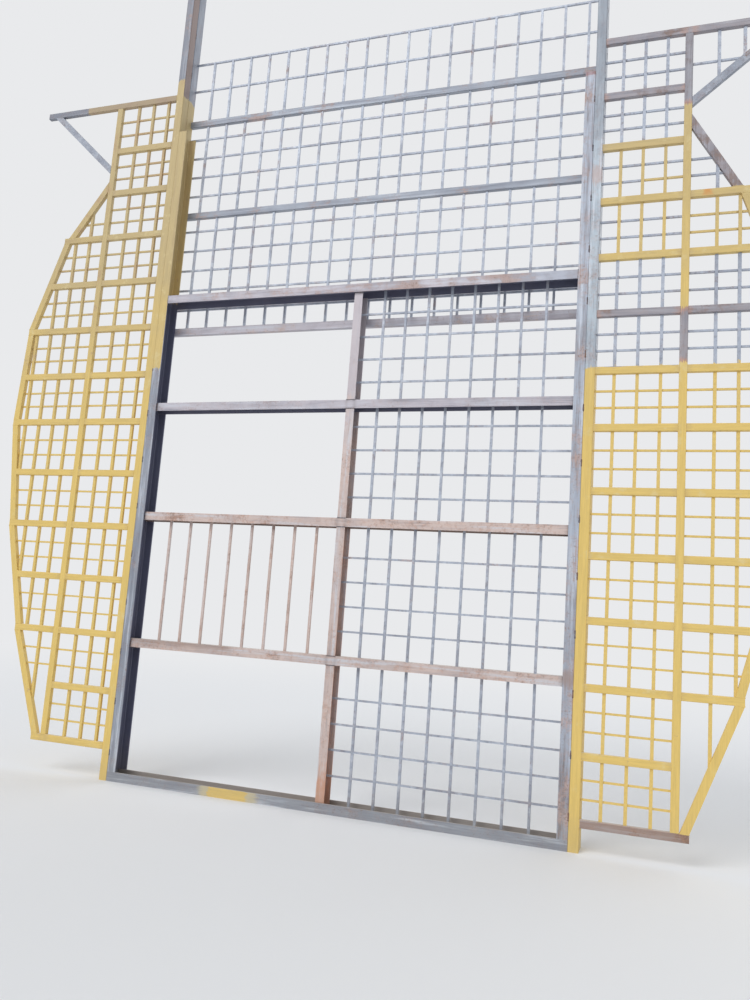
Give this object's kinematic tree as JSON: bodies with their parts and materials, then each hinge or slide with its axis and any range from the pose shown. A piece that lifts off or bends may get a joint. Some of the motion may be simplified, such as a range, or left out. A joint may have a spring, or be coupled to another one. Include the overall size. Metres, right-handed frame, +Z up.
{
  "type": "sluice gate",
  "caption": "Steel sluice gate: a channel-framed gate with lattice bays and an open bay between tall box posts, under a fixed bar screen, with a curved lattice wing on each side.",
  "frame": {"origin": "on the flat underside of the sill channel, at the middle of its length and of its depth", "axes": "+Z up the posts, +X along the sill to the right as seen from the front, -Y towards the front, where the wing tubes, the guide lips and the post faces lie"},
  "size_m": [7.2, 0.22, 8.2],
  "materials": {
    "yellow_paint": "hand-brushed yellow paint, dusty, worn at edges and welds",
    "part_painted": "hand-brushed yellow paint in stretches with ragged ends, bare weathered steel between them",
    "bare_steel": "bare blue-grey mill steel, dusty, with light rust",
    "rusty_steel": "bare steel under a pinkish-brown coat of rust"
  },
  "bodies": {
    "root": {"sill_beam": "bare_steel", "lintel": "bare_steel", "rail_lower": "rusty_steel", "rail_middle": "rusty_steel", "rail_upper": "bare_steel", "middle_stile": "rusty_steel", "left_guide": "part_painted", "right_guide": "bare_steel", "left_post_front": "part_painted", "left_post_rear": "part_painted", "right_post_front": "part_painted", "right_post_rear": "part_painted", "screen_rail_low": "bare_steel", "screen_rail_mid": "bare_steel", "screen_rail_high": "bare_steel", "screen_grid_low": "bare_steel", "screen_grid_mid": "bare_steel", "screen_grid_top": "bare_steel", "gate_grid_bottom": "bare_steel", "gate_grid_lower": "bare_steel", "gate_grid_upper": "bare_steel", "gate_grid_top": "bare_steel", "left_bay_bars": "bare_steel", "left_wing_mullion": "yellow_paint", "left_wing_top_rail": "part_painted", "left_wing_bottom_rail": "yellow_paint", "left_wing_strut": "bare_steel", "left_wing_edge": "yellow_paint", "left_wing_inner_rails": "yellow_paint", "left_wing_outer_rails": "yellow_paint", "left_wing_inner_grid": "yellow_paint", "left_wing_outer_grid": "yellow_paint", "right_wing_mullion": "part_painted", "right_wing_top_rail": "part_painted", "right_wing_bottom_rail": "rusty_steel", "right_wing_strut": "bare_steel", "right_wing_edge": "part_painted", "right_wing_inner_rails": "part_painted", "right_wing_outer_rails": "part_painted", "right_wing_inner_grid": "part_painted", "right_wing_outer_grid": "part_painted", "right_wing_corner_grid": "bare_steel"}
  },
  "joints": []
}
